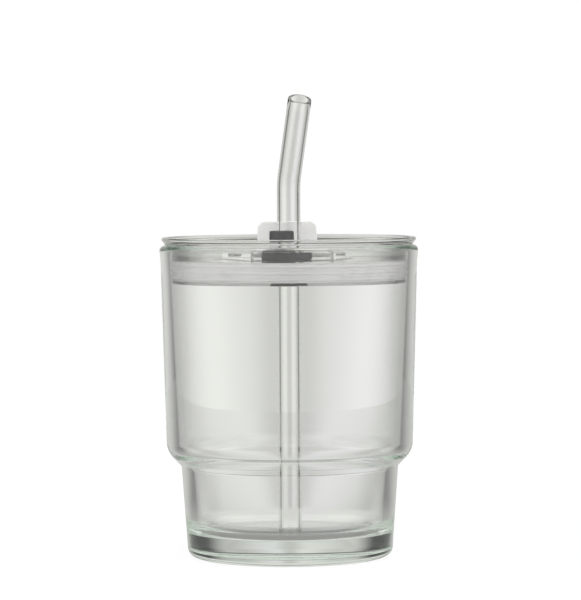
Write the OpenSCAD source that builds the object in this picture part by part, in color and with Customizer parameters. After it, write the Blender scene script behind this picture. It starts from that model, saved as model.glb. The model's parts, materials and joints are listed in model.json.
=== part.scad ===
// Lidded glass tumbler with a bent glass straw.
// Millimetres, +Z up, origin at the centre of the flat foot. The front is -Y.

/* [Tumbler] */
// Height of the glass from the table to the top of its rim
tumbler_h = 106.9; // [98:0.1:125]
// Radius of the rounding round the foot
foot_fillet = 3.15; // [1.5:0.05:5]
// Height at which the shoulder leaves the lower wall
shoulder_z = 30.4; // [24:0.1:40]
// Outer radius of the upper wall just above the shoulder
body_r = 42.35; // [41.5:0.05:43.4]
// How far the lower wall's top lies inside the foot of the upper wall
shoulder_step = 5.15; // [4.2:0.05:6.2]
// How much narrower the lower wall is at the foot than at the shoulder
base_taper = 1.9; // [0.7:0.1:3.2]
// Radius of the hollow curve under the shoulder
shoulder_cove = 2.1; // [1:0.1:3.5]
// Radius of the round on top of the shoulder
shoulder_round = 8; // [6:0.1:9.5]
// Outer radius of the upper wall just below the rim
mouth_r = 44; // [43.5:0.1:46]
// How far the rim swells past the wall below it
rim_swell = 0.4; // [0.1:0.05:0.8]
// Height of the swelling below the top of the rim
rim_h = 5.9; // [4:0.1:9]
// Radius of the rim's outer rounding
rim_round = 1.95; // [1.2:0.05:2.2]
// Thickness of the lower wall and of the shoulder
wall_t = 4.1; // [3:0.1:5]
// Thickness of the wall at the mouth
mouth_wall = 2.85; // [2.6:0.05:3.4]
// Thickness of the solid bottom
floor_t = 8.4; // [5:0.1:14]
// Radius of the hollow's rounding into the floor
floor_fillet = 5.8; // [2:0.1:9]

/* [Lid] */
// Play between the rim and the flange that rests on it
lid_gap = 0.1; // [0.05:0.05:0.3]
// Outer radius of the lid's flared flange
flange_r = 43.7; // [43:0.1:46]
// Height of the flange from its underside to the top of its lip
flange_h = 2.6; // [2.2:0.1:4]
// Width of the flange's flared underside
flare = 1.2; // [0.6:0.1:1.5]
// Width of the raised lip round the lid
lip_w = 1.5; // [1.2:0.1:2.5]
// Height of the raised lip over the ledge inside it
lip_h = 1.1; // [0.5:0.1:1.4]
// Width of the ledge between the lip and the recess
ledge_w = 3.1; // [1.5:0.1:5]
// Depth of the plate's top below the flange's underside
plate_drop = 0.8; // [0.3:0.1:2]
// Thickness of the plate that closes the mouth
plate_t = 4.3; // [3.5:0.1:6]
// Play between the plate's edge and the glass
plate_gap = 0.7; // [0.4:0.05:1.2]
// Depth of the skirt's lower edge below the flange's underside
skirt_h = 12.9; // [10.5:0.1:16]
// Thickness of the skirt behind the seal
skirt_t = 1.7; // [1.2:0.1:3]
// Height of the collar under the seal
collar_h = 1.1; // [0.8:0.1:2]

/* [Seal] */
// Thickness of the seal ring between its ribs
seal_t = 1.4; // [0.8:0.1:1.6]
// Play between the seal's ribs and the glass
seal_gap = 0.15; // [0.1:0.05:0.3]
// Number of ribs on the seal
seal_ribs = 3; // [2:1:4]
// Height of one rib
rib_h = 1.3; // [0.8:0.1:1.5]

/* [Well in the lid] */
// Width of the well from side to side
well_w = 22.2; // [21.8:0.1:26]
// Distance from the straw's axis to the well's front wall
well_front = 15.5; // [15:0.1:20]
// Distance from the straw's axis to the well's rear wall
well_back = 21; // [20.6:0.1:25]
// Depth of the well below the plate's top
well_depth = 4.3; // [4.2:0.1:5]
// Thickness of the well's floor
well_floor = 2.5; // [1.5:0.1:3]
// Thickness of the wall round the well's underside
well_wall = 2; // [1.8:0.1:3]
// Radius of the well's corners
well_corner = 1.5; // [0.5:0.1:3]
// Bore of the air hole under the folded tab
vent_d = 1.6; // [1.4:0.1:2]

/* [Straw] */
// Outer diameter of the straw
straw_d = 8; // [7:0.1:8.4]
// Bore of the straw
straw_bore = 6; // [5:0.1:6.4]
// Height of the bend's corner above the table
bend_z = 128.1; // [122:0.1:150]
// Radius of the bend along the straw's axis
bend_r = 14; // [8:0.5:20]
// Angle of the bend
bend_a = 25; // [10:1:40]
// Direction of the bend, from the front towards the right
bend_az = 14; // [-90:0.5:90]
// Length from the bend's corner to the mouth end
straw_tip = 31.5; // [20:0.5:50]
// Play between the straw and the floor
straw_foot_gap = 0.3; // [0.1:0.1:3]
// Radius of the melted edge at each end
straw_edge = 0.45; // [0.1:0.05:0.5]

/* [Grommet] */
// Radial play of the straw in the grommet
straw_play = 0.06; // [0.03:0.01:0.1]
// Radial play of the grommet in the lid
grommet_play = 0.08; // [0.03:0.01:0.1]
// Radial thickness of the grommet's neck
grommet_wall = 0.9; // [0.7:0.05:1]
// Diameter of the grommet's flange
grommet_flange_d = 11.3; // [10.8:0.1:11.6]
// Height of the grommet's flange
grommet_flange_h = 2.9; // [1.5:0.1:4]
// Diameter of the bulb under the lid
grommet_bulb_d = 13; // [12:0.1:13.3]
// Height of the bulb
grommet_bulb_h = 4.7; // [3:0.1:6]

/* [Stopper] */
// Place of the stopper to the left of the straw
stopper_left = 3; // [1:0.1:5]
// Place of the stopper in front of the straw
stopper_front = 9.9; // [9.8:0.1:10.6]
// Diameter of the stopper's head where it meets the lid
stopper_d = 8.6; // [8:0.1:8.8]
// Height of the stopper's head
stopper_h = 10; // [6:0.1:14]
// Draft of the head's side on the radius
stopper_draft = 0.15; // [0:0.05:0.4]
// Radius of the head's top edge
stopper_edge = 0.6; // [0.2:0.1:1.2]
// Diameter of the plug under the head
plug_d = 6.5; // [5.5:0.1:6.7]
// How far the plug reaches below the well's floor
plug_out = 0.8; // [0.3:0.1:1.5]
// Radial play of the plug in its hole
plug_play = 0.1; // [0.03:0.01:0.1]

/* [Flip tab] */
// Distance of the tab's hinge behind the straw
tab_back = 8.9; // [8.5:0.1:9.2]
// Width of the tab at its hinge
tab_w = 21.2; // [18:0.1:21.4]
// Draft of each side of the tab over its height
tab_draft = 0.5; // [0:0.1:1.5]
// Thickness of the tab
tab_t = 2.2; // [1.6:0.1:2.4]
// Height of the tab above its hinge
tab_h = 11.2; // [10.2:0.1:11.4]
// Radius of the tab's upper corners
tab_corner = 2.3; // [1:0.1:4]
// Radius of the barrel at the tab's hinge
barrel_r = 1.3; // [1.25:0.05:1.6]
// Diameter of the tab's hinge stubs
stub_d = 1.9; // [1.4:0.1:2.2]
// Length of each hinge stub past the well's side
stub_l = 1.3; // [0.8:0.1:1.5]
// Radial play of the stubs in the lid
stub_play = 0.06; // [0.03:0.01:0.1]
// Height above the hinge of the nub that covers the air hole
nub_up = 6.6; // [6:0.1:7.5]
// Diameter of the nub
nub_d = 1.1; // [0.8:0.1:1.3]
// Height of the nub over the tab's back
nub_h = 0.9; // [0.6:0.1:1]

/* [Play between pieces] */
// Gap under a piece that rests on another
rest_gap = 0.05; // [0.03:0.01:0.1]
// Gap between the tab's barrel and the well's floor
barrel_gap = 0.3; // [0.2:0.05:0.4]

/* [Hidden] */
$fn = 96;
arc_steps = 8;
ramp_a = 45;
joined = 0.4;
bend_lap = 0.3;
bend_swell = 0.04;

// Outer radii of the lower wall at the shoulder and just above the rounded foot
neck_r = body_r - shoulder_step;
base_r = neck_r - base_taper;

// Lean of the lower outer wall from the vertical
low_lean = atan((neck_r - base_r) / (shoulder_z - foot_fillet));
ramp_w = body_r - neck_r - shoulder_cove * (cos(low_lean) - cos(ramp_a))
    - shoulder_round * (1 - cos(ramp_a));

// Centres of the shoulder's two curves, as [radius, height]
cove_c = [neck_r + shoulder_cove * cos(low_lean), shoulder_z - shoulder_cove * sin(low_lean)];
ramp_top = [cove_c[0] - shoulder_cove * cos(ramp_a) + ramp_w,
            cove_c[1] + shoulder_cove * sin(ramp_a) + ramp_w];
round_c = [ramp_top[0] - shoulder_round * cos(ramp_a), ramp_top[1] + shoulder_round * sin(ramp_a)];

// Inside of the lower wall, as the point where the shoulder's inner curve begins
low_in = [cove_c[0] - (shoulder_cove + wall_t) * cos(low_lean),
          cove_c[1] + (shoulder_cove + wall_t) * sin(low_lean)];
floor_c = [low_in[0] - (low_in[1] - floor_t - floor_fillet) * tan(low_lean)
           - floor_fillet / cos(low_lean), floor_t + floor_fillet];

// Rim, and the inside of the upper wall
rim_c = [mouth_r + rim_swell - rim_round, tumbler_h - rim_round];
rim_in = rim_c[0] - (mouth_r - mouth_wall);
high_in = [round_c[0] + shoulder_round - wall_t, round_c[1]];
mouth_in = [mouth_r - mouth_wall, tumbler_h - rim_in];
function inside_r(z) = high_in[0]
    + (z - high_in[1]) * (mouth_in[0] - high_in[0]) / (mouth_in[1] - high_in[1]);

// Heights of the lid's levels
flange_z = tumbler_h + lid_gap;
lip_z = flange_z + flange_h;
plate_z = flange_z - plate_drop;
plate_under = plate_z - plate_t;
skirt_z = flange_z - skirt_h;
collar_z = skirt_z + collar_h;
well_z = plate_z - well_depth;
tray_z = well_z - well_floor;

// Radii of the lid's levels
plate_r = inside_r(plate_under) - plate_gap;
groove_r = inside_r(collar_z) - seal_gap - seal_t - rib_h / 2;
skirt_in = groove_r - skirt_t;
collar_r = inside_r(skirt_z) - plate_gap / 2;
lip_in = flange_r - lip_w;
recess_r = lip_in - ledge_w;

// Bores, and the hinge of the tab
grommet_bore = straw_d + 2 * straw_play;
grommet_neck = grommet_bore + 2 * grommet_wall;
grommet_hole = grommet_neck + 2 * grommet_play;
plug_hole = plug_d + 2 * plug_play;
hinge_z = well_z + barrel_r + barrel_gap;
stub_hole = stub_d + 2 * stub_play;
stub_pocket = stub_l + 0.2;

// Straw
straw_z = floor_t + straw_foot_gap;
bend_start = bend_z - bend_r * tan(bend_a / 2);
straw_end = straw_tip - bend_r * tan(bend_a / 2);

// Points of an arc about c, from angle a0 to angle a1
function arc(c, r, a0, a1, n = arc_steps) =
    [for (i = [0:n]) let (a = a0 + (a1 - a0) * i / n) [c[0] + r * cos(a), c[1] + r * sin(a)]];

// Upright block with rounded corners, from y0 to y1 and centred in x
module rounded_block(w, y0, y1, z0, z1, r) {
    h = z1 - z0;
    translate([-w / 2 + r, y0, z0]) cube([w - 2 * r, y1 - y0, h]);
    translate([-w / 2, y0 + r, z0]) cube([w, y1 - y0 - 2 * r, h]);
    for (x = [-w / 2 + r, w / 2 - r], y = [y0 + r, y1 - r])
        translate([x, y, z0]) cylinder(r = r, h = h);
}

module tumbler_section() {
    polygon(concat(
        [[0, 0]],
        arc([base_r - foot_fillet * cos(low_lean), foot_fillet], foot_fillet, -90, -low_lean),
        arc(cove_c, shoulder_cove, 180 - low_lean, 180 - ramp_a),
        arc(round_c, shoulder_round, -ramp_a, 0),
        [[mouth_r, tumbler_h - rim_h]],
        arc(rim_c, rim_round, 0, 90),
        arc([rim_c[0], mouth_in[1]], rim_in, 90, 180),
        arc(round_c, shoulder_round - wall_t, 0, -ramp_a),
        arc(cove_c, shoulder_cove + wall_t, 180 - ramp_a, 180 - low_lean),
        arc(floor_c, floor_fillet, -low_lean, -90),
        [[0, floor_t]]
    ));
}

module tumbler() {
    color([0.86, 0.89, 0.87, 0.35])
        rotate_extrude() tumbler_section();
}

module lid_section() {
    edge = (flange_h - flare) / 2;
    polygon(concat(
        [[0, plate_under], [skirt_in, plate_under], [skirt_in, skirt_z], [collar_r, skirt_z],
         [collar_r, collar_z], [groove_r, collar_z], [groove_r, plate_under],
         [plate_r, plate_under], [plate_r, flange_z], [flange_r - flare, flange_z]],
        arc([flange_r - edge, lip_z - edge], edge, -ramp_a, 90),
        arc([lip_in + edge / 2, lip_z - edge / 2], edge / 2, 90, 180),
        [[lip_in, lip_z - lip_h], [recess_r, lip_z - lip_h], [recess_r, plate_z], [0, plate_z]]
    ));
}

module lid() {
    color([0.9, 0.91, 0.9, 0.35])
    difference() {
        union() {
            rotate_extrude() lid_section();
            rounded_block(well_w + 2 * well_wall, -well_front - well_wall, well_back + well_wall,
                          tray_z, plate_under + joined, well_corner + well_wall);
        }
        rounded_block(well_w, -well_front, well_back, well_z, lip_z, well_corner);
        translate([0, 0, skirt_z]) cylinder(d = grommet_hole, h = plate_z - skirt_z);
        translate([-stopper_left, -stopper_front, skirt_z])
            cylinder(d = plug_hole, h = plate_z - skirt_z);
        translate([0, tab_back + nub_up, skirt_z]) cylinder(d = vent_d, h = plate_z - skirt_z);
        for (side = [-1, 1])
            translate([side * well_w / 2, tab_back, hinge_z]) rotate([0, 90, 0])
                cylinder(d = stub_hole, h = 2 * stub_pocket, center = true);
    }
}

module lid_seal() {
    seal_h = plate_under - collar_z;
    color([0.86, 0.85, 0.84, 0.7])
    rotate_extrude() {
        translate([groove_r, collar_z]) square([seal_t, seal_h]);
        for (i = [0:seal_ribs - 1])
            let (z = collar_z + seal_h * (i + 0.5) / seal_ribs,
                 tip = inside_r(z - rib_h / 2) - seal_gap)
            polygon([[groove_r + seal_t / 2, z - rib_h / 2], [tip - rib_h / 2, z - rib_h / 2],
                     [tip, z - rib_h / 6], [tip, z + rib_h / 6],
                     [tip - rib_h / 2, z + rib_h / 2], [groove_r + seal_t / 2, z + rib_h / 2]]);
    }
}

module straw_grommet() {
    bulb_z = tray_z - rest_gap;
    edge = grommet_flange_h / 4;
    bore = grommet_bore / 2;
    flange = grommet_flange_d / 2;
    bulb = grommet_bulb_d / 2;
    color([0.24, 0.24, 0.25])
    rotate_extrude() polygon(concat(
        [[bore, bulb_z - grommet_bulb_h], [bulb - grommet_wall, bulb_z - grommet_bulb_h],
         [bulb, bulb_z - grommet_bulb_h / 2], [bulb, bulb_z], [grommet_neck / 2, bulb_z],
         [grommet_neck / 2, well_z + rest_gap], [flange, well_z + rest_gap]],
        arc([flange - edge, well_z + grommet_flange_h - edge], edge, 0, 90),
        [[bore, well_z + grommet_flange_h]]
    ));
}

// Straight piece of tube along +Z with the melted edge at its far end
module tube_to_edge(length) {
    rotate_extrude() polygon(concat(
        [[straw_bore / 2, 0], [straw_d / 2, 0]],
        arc([straw_d / 2 - straw_edge, length - straw_edge], straw_edge, 0, 90),
        arc([straw_bore / 2 + straw_edge, length - straw_edge], straw_edge, 90, 180)
    ));
}

// The bend's wall is a hair thicker, so that it takes the ends of both straight pieces
module straw() {
    color([0.9, 0.92, 0.91, 0.35])
    translate([0, 0, bend_start]) rotate([0, 0, bend_az - 90]) {
        translate([0, 0, bend_lap]) mirror([0, 0, 1]) tube_to_edge(bend_start + bend_lap - straw_z);
        translate([bend_r, 0, 0]) {
            rotate([90, 0, 180]) rotate_extrude(angle = bend_a)
                translate([bend_r, 0]) difference() {
                    circle(d = straw_d + bend_swell);
                    circle(d = straw_bore - bend_swell);
                }
            rotate([0, bend_a, 0]) translate([-bend_r, 0, -bend_lap])
                tube_to_edge(straw_end + bend_lap);
        }
    }
}

module stopper() {
    head = stopper_d / 2;
    head_z = well_z + rest_gap;
    top_z = well_z + stopper_h;
    color([0.28, 0.28, 0.29])
    translate([-stopper_left, -stopper_front, 0])
        rotate_extrude() polygon(concat(
            [[0, tray_z - plug_out], [plug_d / 2, tray_z - plug_out], [plug_d / 2, head_z],
             [head, head_z]],
            arc([head - stopper_draft - stopper_edge, top_z - stopper_edge], stopper_edge, 0, 90),
            [[0, top_z]]
        ));
}

// Outline of the tab, with its hinge along the x axis at the origin
module tab_outline() {
    corner_x = tab_w / 2 - tab_draft - tab_corner;
    polygon(concat(
        [[-tab_w / 2, 0], [tab_w / 2, 0]],
        arc([corner_x, tab_h - tab_corner], tab_corner, 0, 90),
        arc([-corner_x, tab_h - tab_corner], tab_corner, 90, 180)
    ));
}

module flip_tab() {
    color([0.83, 0.83, 0.82, 0.8])
    translate([0, tab_back, hinge_z]) {
        rotate([90, 0, 0]) linear_extrude(height = tab_t, center = true) tab_outline();
        rotate([0, 90, 0]) cylinder(r = barrel_r, h = tab_w, center = true);
        rotate([0, 90, 0]) cylinder(d = stub_d, h = well_w + 2 * stub_l, center = true);
        translate([0, tab_t / 2 - joined, nub_up]) rotate([-90, 0, 0])
            cylinder(d = nub_d, h = nub_h + joined);
    }
}

tumbler();
lid();
lid_seal();
straw_grommet();
straw();
stopper();
flip_tab();
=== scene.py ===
"""Stepped glass tumbler with a clear lid, a milky seal, a flip tab, a stopper and a bent glass straw."""

import json
import math

import bmesh
import bpy
import numpy as np
from bpy.props import FloatProperty, FloatVectorProperty, IntProperty, PointerProperty
from mathutils import Matrix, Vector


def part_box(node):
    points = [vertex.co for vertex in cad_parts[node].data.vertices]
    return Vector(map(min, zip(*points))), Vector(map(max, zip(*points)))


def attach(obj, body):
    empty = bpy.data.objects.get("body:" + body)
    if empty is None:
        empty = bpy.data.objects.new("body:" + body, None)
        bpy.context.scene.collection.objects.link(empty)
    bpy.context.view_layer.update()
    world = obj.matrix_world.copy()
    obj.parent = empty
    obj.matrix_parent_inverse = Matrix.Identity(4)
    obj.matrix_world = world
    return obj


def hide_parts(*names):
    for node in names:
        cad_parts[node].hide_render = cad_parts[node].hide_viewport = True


bl_info = {
    "name": "Lidded glass tumbler",
    "version": (1, 0, 0),
    "blender": (4, 5, 0),
    "location": "3D View > Sidebar > Tumbler",
    "description": "Makes a stepped glass tumbler with its lid, seal, tab, stopper and straw",
    "category": "Add Mesh",
}

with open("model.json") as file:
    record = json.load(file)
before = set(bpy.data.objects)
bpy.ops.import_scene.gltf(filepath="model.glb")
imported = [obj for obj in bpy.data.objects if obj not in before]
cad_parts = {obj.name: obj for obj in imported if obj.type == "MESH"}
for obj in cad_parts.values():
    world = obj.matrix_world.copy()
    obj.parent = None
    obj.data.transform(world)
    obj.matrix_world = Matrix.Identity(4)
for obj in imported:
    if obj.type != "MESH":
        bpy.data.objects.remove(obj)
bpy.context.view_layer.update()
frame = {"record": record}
MM = 0.001
CREASE = 35.0
GLASS_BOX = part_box("tumbler")
LID_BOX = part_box("lid")
STRAW_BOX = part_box("straw")
GROMMET_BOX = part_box("straw_grommet")
STOPPER_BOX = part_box("stopper")
STOPPER_AXIS = (np.array(STOPPER_BOX[0][:2]) + np.array(STOPPER_BOX[1][:2])) / 2
HINGE = np.array(next(j["pos_m"] for j in frame["record"]["behaviour"]["joints"] if j["name"] == "tab_fold"))


def length(name, about, default):
    """A size property in metres, written in millimetres."""
    return FloatProperty(name=name, description=about, default=default * MM, min=0.0, unit="LENGTH",
                         precision=5)


def angle(name, about, degrees):
    """An angle property in radians, written in degrees."""
    return FloatProperty(name=name, description=about, default=math.radians(degrees), unit="ROTATION")


def colour(name, about, default):
    """A colour property."""
    return FloatVectorProperty(name=name, description=about, subtype="COLOR", size=3, min=0.0, max=1.0,
                               default=default)


class TumblerSizes(bpy.types.PropertyGroup):
    """Sizes of the pressed glass."""

    base_r: length("Base radius", "Outer radius just above the rounded foot", 35.3)
    foot_fillet: length("Foot rounding", "Radius of the rounding round the foot", 3.15)
    neck_r: length("Neck radius", "Outer radius where the shoulder begins", 37.2)
    shoulder_z: length("Shoulder height", "Height at which the shoulder leaves the lower wall", 30.4)
    body_r: length("Body radius", "Outer radius just above the shoulder", 42.35)
    cove: length("Shoulder cove", "Radius of the hollow curve under the shoulder", 2.1)
    shoulder_round: length("Shoulder round", "Radius of the round on top of the shoulder", 8.0)
    mouth_r: length("Mouth radius", "Outer radius just below the rim", 44.0)
    rim_h: length("Rim height", "Height of the rim's swelling", 5.9)
    rim_round: length("Rim rounding", "Radius of the rim's outer rounding", 1.95)
    wall_t: length("Wall", "Thickness of the lower wall and the shoulder", 4.1)
    mouth_wall: length("Mouth wall", "Thickness of the wall at the mouth", 2.85)
    floor_t: length("Bottom", "Thickness of the solid bottom", 8.4)
    floor_fillet: length("Floor rounding", "Radius of the hollow's rounding into the floor", 5.8)
    glass: colour("Glass", "Tint of the glass at its surface", (0.998, 1.0, 0.998))
    depth_tint: colour("Depth tint", "Tint that thick glass takes on", (0.6, 0.8, 0.66))
    segments: IntProperty(name="Segments", description="Faces round the glass", default=256, min=24, max=512)


class LidSizes(bpy.types.PropertyGroup):
    """Sizes of the clear lid and of what sits in it."""

    flange_h: length("Flange height", "From the flange's underside to the top of its lip", 2.6)
    flare: length("Flare", "Width of the flange's flared underside", 1.2)
    lip_w: length("Lip width", "Width of the raised lip", 1.5)
    lip_h: length("Lip height", "Height of the lip over the ledge inside it", 1.1)
    ledge_w: length("Ledge width", "Width of the ledge between the lip and the recess", 3.1)
    plate_drop: length("Plate drop", "Depth of the plate's top below the flange's underside", 0.8)
    plate_t: length("Plate", "Thickness of the plate", 4.3)
    plate_gap: length("Plate gap", "Play between the plate's edge and the glass", 0.7)
    skirt_t: length("Skirt", "Thickness of the skirt behind the seal", 1.7)
    collar_h: length("Collar", "Height of the collar under the seal", 1.1)
    seal_t: length("Seal", "Thickness of the seal between its ribs", 1.4)
    seal_gap: length("Seal gap", "Play between the seal's ribs and the glass", 0.15)
    rib_h: length("Rib height", "Height of one rib of the seal", 1.3)
    ribs: IntProperty(name="Ribs", description="Number of ribs on the seal", default=3, min=1, max=5)
    well_w: length("Well width", "Width of the well from side to side", 22.2)
    well_front: length("Well front", "From the straw's axis to the well's front wall", 15.5)
    well_back: length("Well back", "From the straw's axis to the well's rear wall", 21.0)
    well_depth: length("Well depth", "Depth of the well below the plate's top", 4.3)
    well_floor: length("Well floor", "Thickness of the well's floor", 2.5)
    well_wall: length("Well wall", "Thickness of the wall round the well's underside", 2.0)
    well_corner: length("Well corner", "Radius of the well's corners", 1.5)
    vent_d: length("Air hole", "Bore of the air hole under the folded tab", 1.6)
    grommet_hole: length("Grommet hole", "Bore for the straw's grommet", 10.08)
    plug_hole: length("Stopper hole", "Bore for the stopper's plug", 6.7)
    stub_hole: length("Hinge bore", "Bore for the tab's hinge stubs", 2.02)
    stub_pocket: length("Hinge bore depth", "Depth of the hinge bores in the well's sides", 1.5)
    clear: colour("Clear plastic", "Tint of the lid at its surface", (0.997, 0.995, 0.99))
    depth_tint: colour("Depth tint", "Tint that thick plastic takes on", (0.7, 0.72, 0.7))
    milky: colour("Silicone", "Colour of the milky seal", (0.98, 0.97, 0.96))


class SmallSizes(bpy.types.PropertyGroup):
    """Sizes of the grommet, the stopper and the flip tab."""

    bore: length("Grommet bore", "Bore of the grommet round the straw", 8.12)
    neck: length("Grommet neck", "Diameter of the grommet's neck in the lid", 9.92)
    flange: length("Grommet flange", "Diameter of the grommet's flange", 11.3)
    flange_h: length("Flange height", "Height of the grommet's flange", 2.85)
    bulb_h: length("Bulb height", "Height of the bulb under the lid", 4.7)
    head_h: length("Stopper head", "Height of the stopper's head", 9.95)
    draft: length("Stopper draft", "How much the head narrows upwards, on the radius", 0.15)
    head_edge: length("Stopper edge", "Radius of the head's top edge", 0.6)
    plug: length("Plug", "Diameter of the plug under the head", 6.5)
    tab_w: length("Tab width", "Width of the tab at its hinge", 21.2)
    tab_draft: length("Tab draft", "Draft of each side of the tab over its height", 0.5)
    tab_t: length("Tab thickness", "Thickness of the tab", 2.2)
    tab_h: length("Tab height", "Height of the tab above its hinge", 11.2)
    tab_corner: length("Tab corners", "Radius of the tab's upper corners", 2.3)
    barrel: length("Barrel", "Radius of the barrel at the tab's hinge", 1.3)
    stub: length("Stub", "Diameter of the hinge stubs", 1.9)
    stub_end: length("Stub reach", "From the middle of the tab to the end of a stub", 12.4)
    nub: length("Nub", "Diameter of the nub that covers the air hole", 1.1)
    nub_up: length("Nub place", "Height of the nub above the hinge", 6.6)
    nub_h: length("Nub height", "Height of the nub over the tab's back", 0.9)
    edge: length("Soft edge", "Radius of the moulded edges", 0.35)
    frosted: colour("Frosted plastic", "Colour of the tab", (0.75, 0.747, 0.73))
    dark: colour("Dark silicone", "Colour of the stopper and the grommet", (0.065, 0.065, 0.068))


class StrawSizes(bpy.types.PropertyGroup):
    """Sizes of the straw."""

    outer: length("Outer diameter", "Outer diameter of the straw", 8.0)
    bore: length("Bore", "Bore of the straw", 6.0)
    bend_z: length("Bend height", "Height of the bend's corner above the table", 128.1)
    bend_r: length("Bend radius", "Radius of the bend along the straw's axis", 14.0)
    bend_a: angle("Bend", "Angle of the bend", 25)
    bend_az: angle("Bend direction", "From the front towards the right", 14)
    tip: length("Tip length", "From the bend's corner to the mouth end", 31.5)
    edge: length("Melted edge", "Radius of the melted edge at each end", 0.45)
    glass: colour("Straw glass", "Tint of the straw at its surface", (0.998, 0.998, 0.995))
    depth_tint: colour("Depth tint", "Tint that thick glass takes on", (0.8, 0.86, 0.82))


class StudioSettings(bpy.types.PropertyGroup):
    """Camera and studio."""

    distance: length("Distance", "From the camera to the tumbler's axis", 1039.5)
    height: length("Height", "Height of the camera above the table", 133.2)
    side: FloatProperty(name="Side", description="Camera to the right of the axis", default=0.5 * MM,
                        unit="LENGTH")
    turn: angle("Turn", "Camera's turn about the axis", -3.5)
    tilt: angle("Tilt", "Angle below the horizon", 2.496)
    roll: angle("Roll", "Lean of the picture", -0.3)
    lens: FloatProperty(name="Lens", description="Focal length on a 36 mm film", default=181.7,
                        unit="CAMERA")
    floor_r: length("Floor", "Radius of the round white table", 500.0)


# Outlines and surfaces


def arc(centre, radius, start, end, steps):
    """Points at equal angles on a circle: centre + radius * (cos a, sin a), with a from start to end in
    degrees."""
    a = np.radians(np.linspace(start, end, steps + 1))
    return np.column_stack((centre[0] + radius * np.cos(a), centre[1] + radius * np.sin(a)))


def line(start, end, steps):
    """Points at equal steps from start to end, without the two ends."""
    t = np.linspace(0.0, 1.0, steps + 1)[1:-1, None]
    return np.asarray(start) * (1 - t) + np.asarray(end) * t


def grid_faces(rows, columns, closed_rows):
    """Corners of the quads of a grid whose columns close on themselves, and whose rows do if asked."""
    i = np.arange(rows if closed_rows else rows - 1)[:, None]
    j = np.arange(columns)[None, :]
    i2, j2 = (i + 1) % rows, (j + 1) % columns
    corners = (i * columns + j, i * columns + j2, i2 * columns + j2, i2 * columns + j)
    return np.stack(corners, axis=-1).reshape(-1, 4)


def mesh_piece(name, points, faces, crease=CREASE):
    """A mesh object at the origin. Doubles at poles are merged, and edges sharper than crease degrees stay
    sharp."""
    mesh = bpy.data.meshes.new(name)
    mesh.vertices.add(len(points))
    mesh.vertices.foreach_set("co", np.ascontiguousarray(points, dtype=np.float32).ravel())
    mesh.loops.add(faces.size)
    mesh.loops.foreach_set("vertex_index", np.ascontiguousarray(faces, dtype=np.int32).ravel())
    mesh.polygons.add(len(faces))
    mesh.polygons.foreach_set("loop_start", np.arange(len(faces), dtype=np.int32) * faces.shape[1])
    mesh.update(calc_edges=True)
    tidy(mesh)
    piece = bpy.data.objects.new(name, mesh)
    bpy.context.scene.collection.objects.link(piece)
    smooth(mesh, crease)
    return piece


def tidy(mesh):
    """Merges doubled points and turns the faces outwards."""
    work = bmesh.new()
    work.from_mesh(mesh)
    bmesh.ops.remove_doubles(work, verts=work.verts, dist=1e-7)
    bmesh.ops.recalc_face_normals(work, faces=work.faces)
    work.to_mesh(mesh)
    work.free()


def smooth(mesh, crease):
    """Smooth shading, with edges sharper than crease degrees kept sharp."""
    mesh.shade_smooth()
    mesh.set_sharp_from_angle(angle=math.radians(crease))


def revolve(name, outline, segments, centre=(0.0, 0.0, 0.0), closed=False, axis="Z"):
    """Turns an outline of (radius, height) about an axis through centre: (r cos u, r sin u, h) where it is
    upright, with the three coordinates moved round where it is level."""
    u = np.arange(segments) * (2 * math.pi / segments)
    r, h = outline[:, 0][:, None], outline[:, 1][:, None]
    points = np.stack((r * np.cos(u), r * np.sin(u), h + 0 * u), axis=-1).reshape(-1, 3)
    points = np.roll(points, "ZXY".index(axis), axis=1) + np.asarray(centre)
    return mesh_piece(name, points, grid_faces(len(outline), segments, closed))


def rod(name, radius, low, high, centre, axis, edge=0.0):
    """A round rod from low to high along its axis, with its two rims rounded."""
    segments = 48
    outline = join((0, low), arc((radius - edge, low + edge), edge, -90, 0, 5),
                   arc((radius - edge, high - edge), edge, 0, 90, 5), (0, high))
    return revolve(name, outline, segments, centre, axis=axis)


def join(*parts):
    """One outline from several runs of points, without points that repeat."""
    points = np.vstack([np.atleast_2d(p) for p in parts])
    keep = np.append(True, np.linalg.norm(np.diff(points, axis=0), axis=1) > 1e-9)
    return points[keep]


def combine(piece, operation, *others):
    """Adds the others' volumes to the piece (UNION), or takes them out of it (DIFFERENCE), and removes the
    others."""
    for other in others:
        step = piece.modifiers.new(operation, "BOOLEAN")
        step.operation = operation
        step.solver = "EXACT"
        step.object = other
    bpy.context.view_layer.update()
    shaped = bpy.data.meshes.new_from_object(piece.evaluated_get(bpy.context.evaluated_depsgraph_get()))
    piece.modifiers.clear()
    piece.data = shaped
    smooth(shaped, CREASE)
    for other in others:
        bpy.data.objects.remove(other)


def block(name, outline, low, high):
    """An upright block: a closed outline of (x, y) carried from low to high, with flat ends."""
    n = len(outline)
    points = np.vstack([np.column_stack((outline, np.full(n, z))) for z in (low, high)])
    mesh = bpy.data.meshes.new(name)
    ring = np.arange(n)
    sides = np.column_stack((ring, (ring + 1) % n, (ring + 1) % n + n, ring + n))
    mesh.from_pydata(points.tolist(), [], [ring[::-1].tolist(), (ring + n).tolist()] + sides.tolist())
    mesh.update()
    piece = bpy.data.objects.new(name, mesh)
    bpy.context.scene.collection.objects.link(piece)
    return piece


def rounded_outline(half_w, y0, y1, radius):
    """A rectangle with round corners, anticlockwise: four quarter arcs joined by straight sides."""
    steps = 8
    x = half_w - radius
    return np.vstack((
        arc((x, y0 + radius), radius, -90, 0, steps),
        arc((x, y1 - radius), radius, 0, 90, steps),
        arc((-x, y1 - radius), radius, 90, 180, steps),
        arc((-x, y0 + radius), radius, 180, 270, steps),
    ))


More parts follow.
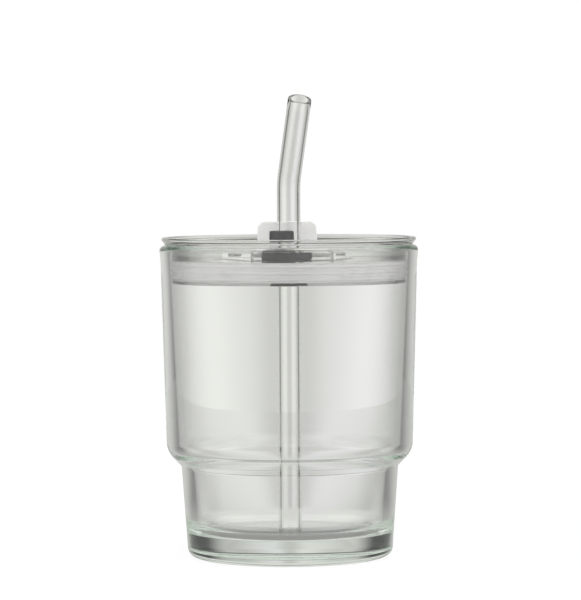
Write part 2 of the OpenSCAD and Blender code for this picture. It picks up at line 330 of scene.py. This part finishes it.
def disc_outline(centre, radius):
    """A circle of points, anticlockwise."""
    steps = 64
    return arc(centre, radius, 0, 360 - 360 / steps, steps - 1)


# Shader maths


class Value:
    """A node's output that takes part in sums: each operator adds its Math node."""

    def __init__(self, shader, socket):
        self.shader = shader
        self.socket = socket

    def maths(self, operation, *others):
        """A Math node on this value and the others."""
        return self.shader.node("ShaderNodeMath", {"operation": operation}, dict(enumerate((self, *others))))

    def __add__(self, other):
        return self.maths("ADD", other)

    def __sub__(self, other):
        return self.maths("SUBTRACT", other)

    def __rsub__(self, other):
        return self.shader.node("ShaderNodeMath", {"operation": "SUBTRACT"}, {0: other, 1: self})

    def __mul__(self, other):
        return self.maths("MULTIPLY", other)

    __radd__ = __add__
    __rmul__ = __mul__


class Shader:
    """A node tree under construction."""

    def __init__(self, tree):
        self.tree = tree
        tree.nodes.clear()

    def node(self, kind, settings=None, inputs=None, output=0):
        """Adds a node, sets it up, and fills its sockets with links or plain values."""
        made = self.tree.nodes.new(kind)
        for key, value in (settings or {}).items():
            setattr(made, key, value)
        for key, value in (inputs or {}).items():
            if isinstance(value, Value):
                self.tree.links.new(value.socket, made.inputs[key])
            else:
                made.inputs[key].default_value = value
        return Value(self, made.outputs[output]) if made.outputs else None

    def ramp(self, value, low, high, to_low=0.0, to_high=1.0):
        """A smooth step from to_low at low to to_high at high."""
        return self.node("ShaderNodeMapRange", {"interpolation_type": "SMOOTHSTEP"}, {
            "Value": value, "From Min": low, "From Max": high, "To Min": to_low, "To Max": to_high})

    def fan(self, bearing, low, high, to_low=0.0, to_high=1.0):
        """A smooth step between two bearings in degrees."""
        return self.ramp(bearing, math.radians(low), math.radians(high), to_low, to_high)

    def parts(self, vector):
        """The x, y and z of a vector."""
        return [self.node("ShaderNodeSeparateXYZ", None, {0: vector}, output=i) for i in range(3)]

    def noise(self, scale, detail):
        """Noise on object coordinates, with scale in cells per metre."""
        place = self.node("ShaderNodeTexCoord", output="Object")
        return self.node("ShaderNodeTexNoise", None, {"Vector": place, "Scale": scale, "Detail": detail})

    def bump(self, scale, detail, strength, height):
        """Noise as relief for a surface's Normal, with its height in metres."""
        return self.node("ShaderNodeBump", None, {
            "Height": self.noise(scale, detail), "Strength": strength, "Distance": height})

    def mix(self, factor, a, b):
        """A colour between a and b, by the mix node's sockets for colours."""
        return self.node("ShaderNodeMix", {"data_type": "RGBA"}, {0: factor, 6: a, 7: b}, output=2)


def material(name):
    """An empty node material and its Shader."""
    made = bpy.data.materials.new(name)
    made.use_nodes = True
    return made, Shader(made.node_tree)


def rgba(colour_value, by=1.0):
    """A colour with full alpha, each channel times by."""
    return (*(min(1.0, c * by) for c in colour_value), 1.0)


def clear_material(name, tint, depth_tint, density, ior, ripple, ripple_size):
    """Clear glass or plastic: a smooth surface with faint ripples from its mould, and a tint that grows with
    depth. The ripples are ripple high and ripple_size wide, and the density is per metre."""
    made, s = material(name)
    smudge = s.noise(60.0, 3.0)
    surface = s.node("ShaderNodeBsdfPrincipled", None, {
        "Base Color": s.mix(smudge, rgba(tint, 0.99), rgba(tint)),
        "Roughness": s.ramp(smudge, 0.35, 0.75, 0.0, 0.02),
        "Normal": s.bump(1 / ripple_size, 1.0, 1.0, ripple),
        "IOR": ior,
        "Transmission Weight": 1.0,
    })
    depth = s.node("ShaderNodeVolumeAbsorption", None, {"Color": rgba(depth_tint), "Density": density})
    s.node("ShaderNodeOutputMaterial", None, {"Surface": surface, "Volume": depth})
    return made


def milky_material(name, tint, roughness, cover, ior=1.41):
    """Milky silicone or frosted plastic: pale and matt, with a faint mottle in its colour. The cover is how
    opaque it is."""
    made, s = material(name)
    mottle = s.noise(180.0, 3.0)
    surface = s.node("ShaderNodeBsdfPrincipled", None, {
        "Base Color": s.mix(mottle, rgba(tint, 0.97), rgba(tint, 1.02)),
        "Roughness": s.ramp(mottle, 0.3, 0.7, roughness - 0.04, roughness + 0.04),
        "Normal": s.bump(2500.0, 2.0, 0.3, 0.02 * MM),
        "IOR": ior,
        "Alpha": cover,
    })
    s.node("ShaderNodeOutputMaterial", None, {"Surface": surface})
    return made


def dark_material(name, tint):
    """Dark matt silicone: a fine grain, and dust that pales it a little in patches."""
    made, s = material(name)
    dust = s.noise(400.0, 4.0)
    surface = s.node("ShaderNodeBsdfPrincipled", None, {
        "Base Color": s.mix(s.ramp(dust, 0.4, 0.8), rgba(tint), rgba(tint, 1.25)),
        "Roughness": s.ramp(dust, 0.3, 0.7, 0.42, 0.58),
        "Normal": s.bump(3000.0, 3.0, 0.4, 0.03 * MM),
    })
    s.node("ShaderNodeOutputMaterial", None, {"Surface": surface})
    return made


def finish(piece, made, body, slot, *nodes):
    """Gives the piece its material and its body, and hides the solids that it stands for. The slot is not
    used.
    """
    piece.data.materials.clear()
    piece.data.materials.append(made)
    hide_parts(*nodes)
    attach(piece, body)


# The pressed glass


class Section:
    """Levels and centres of the tumbler's section, which the lid and the seal also follow."""

    def __init__(self, g):
        self.top = GLASS_BOX[1][2]
        rim_swell = GLASS_BOX[1][0] - g.mouth_r
        self.lean = math.degrees(math.atan((g.neck_r - g.base_r) / (g.shoulder_z - g.foot_fillet)))
        # Cosine and sine of the lower wall's lean, and of the 45 degrees at which the cove meets the round.
        c, s, h = math.cos(math.radians(self.lean)), math.sin(math.radians(self.lean)), math.sqrt(0.5)
        self.cove = (g.neck_r + g.cove * c, g.shoulder_z - g.cove * s)
        ramp = g.body_r - g.neck_r - g.cove * (c - h) - g.shoulder_round * (1 - h)
        ramp_top = (self.cove[0] - g.cove * h + ramp, self.cove[1] + g.cove * h + ramp)
        self.round = (ramp_top[0] - g.shoulder_round * h, ramp_top[1] + g.shoulder_round * h)
        low_in = (self.cove[0] - (g.cove + g.wall_t) * c, self.cove[1] + (g.cove + g.wall_t) * s)
        self.floor = (low_in[0] - (low_in[1] - g.floor_t - g.floor_fillet) * s / c - g.floor_fillet / c,
                      g.floor_t + g.floor_fillet)
        self.foot = (g.base_r - g.foot_fillet * c, g.foot_fillet)
        self.rim = (g.mouth_r + rim_swell - g.rim_round, self.top - g.rim_round)
        self.rim_in = self.rim[0] - (g.mouth_r - g.mouth_wall)
        self.high_in = (self.round[0] + g.shoulder_round - g.wall_t, self.round[1])
        self.mouth_in = (g.mouth_r - g.mouth_wall, self.top - self.rim_in)

    def inside(self, z):
        """Inner radius of the upper wall at height z: a straight line from the shoulder to the rim."""
        slope = (self.mouth_in[0] - self.high_in[0]) / (self.mouth_in[1] - self.high_in[1])
        return self.high_in[0] + (z - self.high_in[1]) * slope


def tumbler_outline(g):
    """The section of the glass from the middle of the foot round to the middle of the floor."""
    c = Section(g)
    wall_top = (g.mouth_r, c.top - g.rim_h)
    return join(
        (0, 0), line((0, 0), (c.foot[0], 0), 6),
        arc(c.foot, g.foot_fillet, -90, -c.lean, 14),
        arc(c.cove, g.cove, 180 - c.lean, 135, 10),
        arc(c.round, g.shoulder_round, -45, 0, 14),
        line((g.body_r, c.round[1]), wall_top, 12), wall_top,
        arc(c.rim, g.rim_round, 0, 90, 14),
        arc((c.rim[0], c.mouth_in[1]), c.rim_in, 90, 180, 12),
        line(c.mouth_in, c.high_in, 12),
        arc(c.round, g.shoulder_round - g.wall_t, 0, -45, 12),
        arc(c.cove, g.cove + g.wall_t, 135, 180 - c.lean, 14),
        arc(c.floor, g.floor_fillet, -c.lean, -90, 14),
        line((c.floor[0], g.floor_t), (0, g.floor_t), 6), (0, g.floor_t),
    )


class OBJECT_OT_make_tumbler(bpy.types.Operator):
    """Makes the pressed glass"""

    bl_idname = "tumbler.make_glass"
    bl_label = "Tumbler"

    def execute(self, context):
        g = context.scene.tumbler_sizes
        piece = revolve("tumbler_glass", tumbler_outline(g), g.segments)
        made = clear_material("pressed_glass", g.glass, g.depth_tint, density=3.0, ior=1.52,
                              ripple=0.006 * MM, ripple_size=14 * MM)
        finish(piece, made, "tumbler", "tumbler_glass", "tumbler")
        return {"FINISHED"}


# The lid and what sits in it


class Levels:
    """Heights and radii of the lid's levels, from the lid's solid and the glass round it."""

    def __init__(self, lid, glass):
        self.low, self.lip = LID_BOX[0][2], LID_BOX[1][2]
        self.flange_r = LID_BOX[1][0]
        self.flange = self.lip - lid.flange_h
        self.plate = self.flange - lid.plate_drop
        self.under = self.plate - lid.plate_t
        self.collar = self.low + lid.collar_h
        self.well = self.plate - lid.well_depth
        self.tray = self.well - lid.well_floor
        self.inside = Section(glass).inside
        self.plate_r = self.inside(self.under) - lid.plate_gap
        self.groove_r = self.inside(self.collar) - lid.seal_gap - lid.seal_t - lid.rib_h / 2
        self.collar_r = self.inside(self.low) - lid.plate_gap / 2
        self.skirt_in = self.groove_r - lid.skirt_t
        self.lip_in = self.flange_r - lid.lip_w
        self.recess_r = self.lip_in - lid.ledge_w


def lid_outline(lid, v):
    """The section of the lid from the plate's underside out to the flange and back over the plate."""
    edge = (lid.flange_h - lid.flare) / 2
    soft = 0.3 * MM
    return join(
        (0, v.under), arc((v.skirt_in - soft, v.under - soft), soft, 90, 0, 4),
        arc((v.skirt_in + soft, v.low + soft), soft, 180, 270, 4),
        arc((v.collar_r - soft, v.low + soft), soft, -90, 0, 4), (v.collar_r, v.collar),
        (v.groove_r, v.collar), (v.groove_r, v.under), (v.plate_r, v.under),
        (v.plate_r, v.flange), (v.flange_r - lid.flare, v.flange),
        arc((v.flange_r - edge, v.lip - edge), edge, -45, 90, 14),
        arc((v.lip_in + edge / 2, v.lip - edge / 2), edge / 2, 90, 180, 8),
        (v.lip_in, v.lip - lid.lip_h), arc((v.recess_r + soft, v.lip - lid.lip_h - soft), soft, 90, 180, 4),
        (v.recess_r, v.plate), (0, v.plate),
    )


class OBJECT_OT_make_lid(bpy.types.Operator):
    """Makes the clear lid with its well and holes"""

    bl_idname = "tumbler.make_lid"
    bl_label = "Lid"

    def execute(self, context):
        lid, glass = context.scene.lid_sizes, context.scene.tumbler_sizes
        v = Levels(lid, glass)
        piece = revolve("clear_lid", lid_outline(lid, v), glass.segments)
        half, wall = lid.well_w / 2, lid.well_wall
        tray = rounded_outline(half + wall, -lid.well_front - wall, lid.well_back + wall,
                               lid.well_corner + wall)
        into_plate = lid.plate_t / 4
        combine(piece, "UNION", block("tray", tray, v.tray, v.under + into_plate))
        small = context.scene.small_sizes
        hole = (v.low, v.plate)
        well = rounded_outline(half, -lid.well_front, lid.well_back, lid.well_corner)
        cutters = [
            block("well", well, v.well, v.lip),
            block("straw_hole", disc_outline((0, 0), lid.grommet_hole / 2), *hole),
            block("stopper_hole", disc_outline(STOPPER_AXIS, lid.plug_hole / 2), *hole),
            block("air_hole", disc_outline((0, HINGE[1] + small.nub_up), lid.vent_d / 2), *hole),
        ]
        for side in (-1, 1):
            cutters.append(rod("hinge_bore", lid.stub_hole / 2, -lid.stub_pocket, lid.stub_pocket,
                               HINGE + (side * half, 0, 0), "X"))
        combine(piece, "DIFFERENCE", *cutters)
        made = clear_material("clear_plastic", lid.clear, lid.depth_tint, density=1.0, ior=1.49,
                              ripple=0.004 * MM, ripple_size=10 * MM)
        finish(piece, made, "lid", "lid_plastic", "lid")
        return {"FINISHED"}


def seal_outline(lid, v):
    """The section of the seal: a flat ring with round ribs towards the glass."""
    height = v.under - v.collar
    ribs = []
    for i in range(lid.ribs):
        z = v.collar + height * (i + 0.5) / lid.ribs
        tip = v.inside(z - lid.rib_h / 2) - lid.seal_gap
        ribs.append(arc((tip - lid.rib_h / 2, z), lid.rib_h / 2, -90, 90, 10))
    foot = v.groove_r + lid.seal_t
    return join((v.groove_r, v.collar), (foot, v.collar),
                *[join((foot, r[0][1]), r, (foot, r[-1][1])) for r in ribs],
                (foot, v.under), (v.groove_r, v.under))


class OBJECT_OT_make_seal(bpy.types.Operator):
    """Makes the milky seal round the lid's skirt"""

    bl_idname = "tumbler.make_seal"
    bl_label = "Seal"

    def execute(self, context):
        lid, glass = context.scene.lid_sizes, context.scene.tumbler_sizes
        outline = seal_outline(lid, Levels(lid, glass))
        piece = revolve("milky_seal", outline, glass.segments, closed=True)
        made = milky_material("milky_silicone", lid.milky, roughness=0.3, cover=0.65)
        finish(piece, made, "lid", "seal_silicone", "lid_seal")
        return {"FINISHED"}


# The grommet, the stopper and the tab


def grommet_outline(m):
    """The section of the grommet: a bulb under the lid, a neck in its hole, and a flange on the well's
    floor."""
    low, high = GROMMET_BOX[0][2], GROMMET_BOX[1][2]
    bulb = GROMMET_BOX[1][0]
    bulb_top, flange_low = low + m.bulb_h, high - m.flange_h
    soft, wide = m.edge, m.bulb_h / 3
    bore, neck, flange = m.bore / 2, m.neck / 2, m.flange / 2
    return join(
        arc((bore + soft, low + soft), soft, 180, 270, 5),
        arc((bulb - wide, low + wide), wide, -90, 0, 10),
        arc((bulb - soft, bulb_top - soft), soft, 0, 90, 5),
        (neck, bulb_top), (neck, flange_low),
        arc((flange - soft, flange_low + soft), soft, -90, 0, 5),
        arc((flange - 2 * soft, high - 2 * soft), 2 * soft, 0, 90, 8),
        arc((bore + soft, high - soft), soft, 90, 180, 5),
    )


class OBJECT_OT_make_grommet(bpy.types.Operator):
    """Makes the dark grommet round the straw"""

    bl_idname = "tumbler.make_grommet"
    bl_label = "Grommet"

    def execute(self, context):
        m = context.scene.small_sizes
        piece = revolve("dark_grommet", grommet_outline(m), segments=96, closed=True)
        made = dark_material("grommet_silicone", m.dark)
        finish(piece, made, "straw_grommet", "dark_silicone", "straw_grommet")
        return {"FINISHED"}


def stopper_outline(m):
    """The section of the stopper: a plug, and a head with a soft top edge and a shallow dish."""
    low, high = STOPPER_BOX[0][2], STOPPER_BOX[1][2]
    head = (STOPPER_BOX[1][0] - STOPPER_BOX[0][0]) / 2
    head_low = high - m.head_h
    plug, soft, top = m.plug / 2, m.edge, m.head_edge
    dish = 0.25 * MM
    t = np.linspace(1, 0, 8)[:, None]
    inner = head - m.draft - top - soft
    dished = np.hstack((inner * t, high - dish * (1 - t ** 2)))
    return join(
        (0, low), arc((plug - soft, low + soft), soft, -90, 0, 5), (plug, head_low),
        arc((head - soft, head_low + soft), soft, -90, 0, 5),
        arc((head - m.draft - top, high - top), top, 0, 90, 10), dished,
    )


class OBJECT_OT_make_stopper(bpy.types.Operator):
    """Makes the dark stopper in front of the straw"""

    bl_idname = "tumbler.make_stopper"
    bl_label = "Stopper"

    def execute(self, context):
        m = context.scene.small_sizes
        piece = revolve("dark_stopper", stopper_outline(m), segments=96, centre=(*STOPPER_AXIS, 0.0))
        made = dark_material("stopper_silicone", m.dark)
        finish(piece, made, "stopper", "dark_silicone", "stopper")
        return {"FINISHED"}


def tab_ring(m, inset):
    """The tab's outline of (x, height above the hinge), drawn in by inset: level foot, drafted sides, round
    top."""
    corner = m.tab_corner - inset
    x = m.tab_w / 2 - m.tab_draft - m.tab_corner
    z = m.tab_h - m.tab_corner
    foot = m.tab_w / 2 - inset
    return join((-foot, 0), (foot, 0), arc((x, z), corner, 0, 90, 12), arc((-x, z), corner, 90, 180, 12))


def tab_plate(m):
    """The tab as rings from face to face: each ring is the outline drawn in by edge * (1 - cos a), at
    y = edge * sin a beyond the flat side, for a from -90 to 90 degrees."""
    quarter = np.radians(np.linspace(0, 90, 7))
    a = np.concatenate((-quarter[::-1], quarter))
    flat = m.tab_t / 2 - m.edge
    level = m.edge * np.sin(a) + np.repeat((-flat, flat), len(quarter))
    rings = []
    for turn, y in zip(a, level):
        ring = tab_ring(m, m.edge * (1 - math.cos(turn)))
        rings.append(np.insert(ring, 1, y, axis=1))
    n = len(rings[0])
    faces = grid_faces(len(rings), n, False)
    last = (len(rings) - 1) * n
    mesh = bpy.data.meshes.new("frosted_tab")
    caps = [list(range(n)), list(range(last + n - 1, last - 1, -1))]
    mesh.from_pydata((np.vstack(rings) + HINGE).tolist(), [], caps + faces.tolist())
    tidy(mesh)
    piece = bpy.data.objects.new("frosted_tab", mesh)
    bpy.context.scene.collection.objects.link(piece)
    return piece


class OBJECT_OT_make_tab(bpy.types.Operator):
    """Makes the frosted flip tab with its barrel, stubs and nub"""

    bl_idname = "tumbler.make_tab"
    bl_label = "Flip tab"

    def execute(self, context):
        m = context.scene.small_sizes
        piece = tab_plate(m)
        half = m.tab_w / 2
        barrel = rod("barrel", m.barrel, -half, half, HINGE, "X", m.edge)
        stubs = rod("stubs", m.stub / 2, -m.stub_end, m.stub_end, HINGE, "X", m.edge / 2)
        back = m.tab_t / 2
        nub = rod("nub", m.nub / 2, 0, back + m.nub_h, HINGE + (0, 0, m.nub_up), "Y", m.edge / 2)
        combine(piece, "UNION", barrel, stubs, nub)
        made = milky_material("frosted_plastic", m.frosted, roughness=0.45, cover=1.0, ior=1.5)
        finish(piece, made, "flip_tab", "tab_plastic", "flip_tab")
        return {"FINISHED"}


# The straw


def straw_path(s, start):
    """The straw's axis: straight up, round the bend, then straight. Gives how far out from the upright line
    each point is, its height, and how far the axis leans there."""
    tangent = s.bend_r * math.tan(s.bend_a / 2)
    corner = s.bend_z - tangent
    a = np.linspace(0, s.bend_a, 25)
    low = np.linspace(start, corner, 20)[:-1]
    high = np.linspace(0, s.tip - tangent, 8)[1:]
    out = np.concatenate((0 * low, s.bend_r * (1 - np.cos(a)),
                          s.bend_r * (1 - math.cos(s.bend_a)) + high * math.sin(s.bend_a)))
    up = np.concatenate((low, corner + s.bend_r * np.sin(a),
                         corner + s.bend_r * math.sin(s.bend_a) + high * math.cos(s.bend_a)))
    lean = np.concatenate((0 * low, a, 0 * high + s.bend_a))
    return out, up, lean


def straw_surface(s, start):
    """A tube whose skin runs up the outside, over the melted edge, down the bore and round the lower edge.

    Each point is axis(t) + rho * (cos u * side + sin u * cross), where rho and t follow that loop. The whole
    is then turned to the bend's direction.
    """
    segments = 64
    out, up, lean = straw_path(s, start)
    edge = s.edge
    outer, bore = s.outer / 2, s.bore / 2
    steps = np.linspace(0, math.pi / 2, 7)
    n = len(out)
    inner_run = np.arange(1, n - 1)
    where, rho, lift = [], [], []

    def add(index, radius, shift):
        where.append(np.full(np.shape(radius), index) if np.ndim(index) == 0 else index)
        rho.append(np.broadcast_to(radius, where[-1].shape))
        lift.append(np.broadcast_to(shift, where[-1].shape))

    add(inner_run, outer, 0.0)
    add(n - 1, outer - edge + edge * np.cos(steps), -edge + edge * np.sin(steps))
    add(n - 1, bore + edge - edge * np.sin(steps), -edge + edge * np.cos(steps))
    add(inner_run[::-1], bore, 0.0)
    add(0, bore + edge - edge * np.cos(steps), edge - edge * np.sin(steps))
    add(0, outer - edge + edge * np.sin(steps), edge - edge * np.cos(steps))
    where, rho, lift = (np.concatenate(v) for v in (where, rho, lift))
    u = np.arange(segments) * (2 * math.pi / segments)
    tilt = lean[where]
    axis = np.column_stack((np.sin(tilt), 0 * tilt, np.cos(tilt)))
    side = np.column_stack((np.cos(tilt), 0 * tilt, -np.sin(tilt)))
    centre = np.column_stack((out[where], 0 * tilt, up[where])) + axis * lift[:, None]
    points = (centre[:, None, :] + (rho[:, None] * np.cos(u))[:, :, None] * side[:, None, :]
              + (rho[:, None] * np.sin(u))[:, :, None] * np.array((0.0, 1.0, 0.0)))
    turn = s.bend_az - math.pi / 2
    c, w = math.cos(turn), math.sin(turn)
    points = points @ np.array(((c, w, 0), (-w, c, 0), (0, 0, 1)))
    return points.reshape(-1, 3), grid_faces(len(where), segments, True)


class OBJECT_OT_make_straw(bpy.types.Operator):
    """Makes the bent glass straw"""

    bl_idname = "tumbler.make_straw"
    bl_label = "Straw"

    def execute(self, context):
        s = context.scene.straw_sizes
        piece = mesh_piece("glass_straw", *straw_surface(s, STRAW_BOX[0][2]), crease=60)
        made = clear_material("straw_glass", s.glass, s.depth_tint, density=2.0, ior=1.474,
                              ripple=0.001 * MM, ripple_size=9 * MM)
        finish(piece, made, "straw", "straw_glass", "straw")
        return {"FINISHED"}


# The studio


def around(s, bearing, flank, spread=1.0):
    """What glass sees at each bearing from the object. A pale wall behind it, a little darker in its middle
    and to the right, falls off to the level of its flanks. A tall soft panel stands on each side, and the
    room in front is dimmer. A larger spread draws the wall out sideways."""
    middle, left, right = 0.84, 0.64, 0.56
    off = bearing.maths("ABSOLUTE")
    side = s.fan(bearing, -12, 12, left, right)
    wall = side + s.fan(off, 4, 20 * spread, 1.0, 0.0) * (middle - side)
    wall = wall * s.fan(off, 0, 5, 0.76, 1.0)
    wall = flank + s.fan(off, 25 * spread, 43 * spread, 1.0, 0.0) * (wall - flank)
    panel = s.fan(off, 62, 90) * s.fan(off, 142, 164, 1.0, 0.4)
    return wall + panel * (1 - flank)


def bearing_of(s, x, y):
    """Bearing of (x, y) from the view's axis, in radians: 0 behind the object, positive to the right."""
    return x.maths("ARCTAN2", y) + bpy.context.scene.studio.turn


def studio_tint(s, bearing, clear):
    """White to the camera and to matt surfaces. To glass it is a faint yellow-green, and nearly neutral in a
    band just right of the middle."""
    band = s.fan(bearing, 0, 4) * s.fan(bearing, 8, 13, 1.0, 0.0)
    tint = s.mix(band, (0.985, 0.99, 0.945, 1), (0.985, 0.98, 0.97, 1))
    return s.mix(clear, (1, 1, 1, 1), tint)


def studio_world(world):
    """White to the camera. Matt surfaces get a plain light, stronger from the front, and glass sees the
    studio's walls and ceiling."""
    front_light, rear_light, ceiling = 1.75, 0.95, 0.95
    world.use_nodes = True
    s = Shader(world.node_tree)
    x, y, z = s.parts(s.node("ShaderNodeTexCoord", output="Generated"))
    bearing = bearing_of(s, x, y)
    camera, matt, clear = light_paths(s)
    # The flanks and the walls are paler below the horizon, and the wall behind ends in a dark gap below the
    # ceiling.
    flank = s.ramp(z, -0.03, 0.03, 0.22, 0.02)
    walls = around(s, bearing, flank) * s.ramp(z, -0.03, 0.03, 1.0, 0.92)
    gap = s.fan(bearing.maths("ABSOLUTE"), 50, 75, 1.0, 0.0) * s.ramp(z, 0.26, 0.34, 0.0, 0.88)
    seen = walls * (1 - gap)
    seen = seen + s.ramp(z, 0.45, 0.6) * (ceiling - seen)
    lamp = s.ramp(y, -0.3, 0.3, front_light, rear_light)
    light = s.node("ShaderNodeBackground", None, {
        "Color": studio_tint(s, bearing, clear), "Strength": camera + matt * lamp + clear * seen})
    s.node("ShaderNodeOutputWorld", None, {"Surface": light})


def light_paths(s):
    """Masks for rays straight from the camera, rays that have left a matt surface, and rays that have only
    met gloss or glass."""
    camera = s.node("ShaderNodeLightPath", output="Is Camera Ray")
    matt = s.node("ShaderNodeLightPath", output="Diffuse Depth").maths("MINIMUM", 1.0)
    glossy = s.node("ShaderNodeLightPath", output="Is Glossy Ray")
    through = s.node("ShaderNodeLightPath", output="Is Transmission Ray")
    return camera, matt, glossy.maths("MAXIMUM", through) * (1 - matt)


def floor_material():
    """A white table. To the camera it glows white, with a share of plain paper that takes the object's
    shadow. To glass
    it shows a painted shadow: grey under the object, paler round it and dimmer to the sides, and further out
    it takes on the walls' level."""
    paper_share, white, of_walls = 0.1, 1.01, 0.9
    made, s = material("white_table")
    x, y, _ = s.parts(s.node("ShaderNodeTexCoord", output="Object"))
    reach = (x * x + y * y).maths("SQRT")
    camera, _, clear = light_paths(s)
    bearing = bearing_of(s, x, y)
    # Painted shadow seen through glass: grey under the foot, paler round it and dimmer to the sides.
    near_painted_shadow = s.ramp(reach, 30 * MM, 42 * MM, 0.48, 0.83) - s.ramp(reach, 50 * MM, 60 * MM, 0.0, 0.08)
    near_painted_shadow = near_painted_shadow * s.fan(bearing.maths("ABSOLUTE"), 25, 60, 1.0, 0.6)
    far = s.ramp(reach, 55 * MM, 150 * MM)
    seen = near_painted_shadow + far * (around(s, bearing, flank=0.28, spread=1.2) * of_walls - near_painted_shadow)
    paper = s.node("ShaderNodeBsdfDiffuse", None, {"Color": (0.9, 0.9, 0.9, 1)})
    glow = s.node("ShaderNodeEmission", None, {
        "Color": studio_tint(s, bearing, clear), "Strength": camera * white + clear * seen})
    share = camera * (1 - paper_share) + clear
    surface = s.node("ShaderNodeMixShader", None, {0: share, 1: paper, 2: glow})
    s.node("ShaderNodeOutputMaterial", None, {"Surface": surface})
    return made


class OBJECT_OT_make_studio(bpy.types.Operator):
    """Makes the floor, the world and the camera"""

    bl_idname = "tumbler.make_studio"
    bl_label = "Studio"

    def execute(self, context):
        scene, st = context.scene, context.scene.studio
        # The table lies a hair under the foot, so that the two faces don't share a plane.
        table = -0.02 * MM
        outline = np.array(((0, table), (st.floor_r / 2, table), (st.floor_r, table)))
        floor = revolve("floor", outline, segments=96)
        floor.data.materials.append(floor_material())
        scene.world = bpy.data.worlds.new("studio")
        studio_world(scene.world)
        camera = bpy.data.objects.new("camera", bpy.data.cameras.new("camera"))
        scene.collection.objects.link(camera)
        camera.data.lens = st.lens
        camera.data.sensor_width = 36.0
        place = Matrix.Rotation(st.turn, 4, "Z") @ Matrix.Translation((st.side, -st.distance, st.height))
        camera.matrix_world = (place @ Matrix.Rotation(math.pi / 2 - st.tilt, 4, "X")
                               @ Matrix.Rotation(st.roll, 4, "Z"))
        scene.camera = camera
        scene.view_settings.view_transform = "Standard"
        # Light passes many faces of glass and plastic on its way through the part.
        for bounces in ("max_bounces", "transmission_bounces", "glossy_bounces"):
            setattr(scene.cycles, bounces, 128)
        return {"FINISHED"}


class VIEW3D_PT_tumbler(bpy.types.Panel):
    """Lists the pieces in the sidebar"""

    bl_label = "Glass tumbler"
    bl_space_type = "VIEW_3D"
    bl_region_type = "UI"
    bl_category = "Tumbler"

    def draw(self, context):
        for step in STEPS:
            self.layout.operator(step.bl_idname)


STEPS = (OBJECT_OT_make_studio, OBJECT_OT_make_tumbler, OBJECT_OT_make_lid, OBJECT_OT_make_seal,
         OBJECT_OT_make_grommet, OBJECT_OT_make_stopper, OBJECT_OT_make_tab, OBJECT_OT_make_straw)
SETTINGS = {"tumbler_sizes": TumblerSizes, "lid_sizes": LidSizes, "small_sizes": SmallSizes,
            "straw_sizes": StrawSizes, "studio": StudioSettings}
CLASSES = (*SETTINGS.values(), *STEPS, VIEW3D_PT_tumbler)


def register():
    """Adds the classes and their settings."""
    for each in CLASSES:
        bpy.utils.register_class(each)
    for name, group in SETTINGS.items():
        setattr(bpy.types.Scene, name, PointerProperty(type=group))


def unregister():
    """Takes the settings and the classes away."""
    for name in SETTINGS:
        delattr(bpy.types.Scene, name)
    for each in reversed(CLASSES):
        bpy.utils.unregister_class(each)


def main():
    """Makes every piece in order."""
    register()
    for step in STEPS:
        space, name = step.bl_idname.split(".")
        getattr(getattr(bpy.ops, space), name)()


if __name__ == "__main__":
    main()
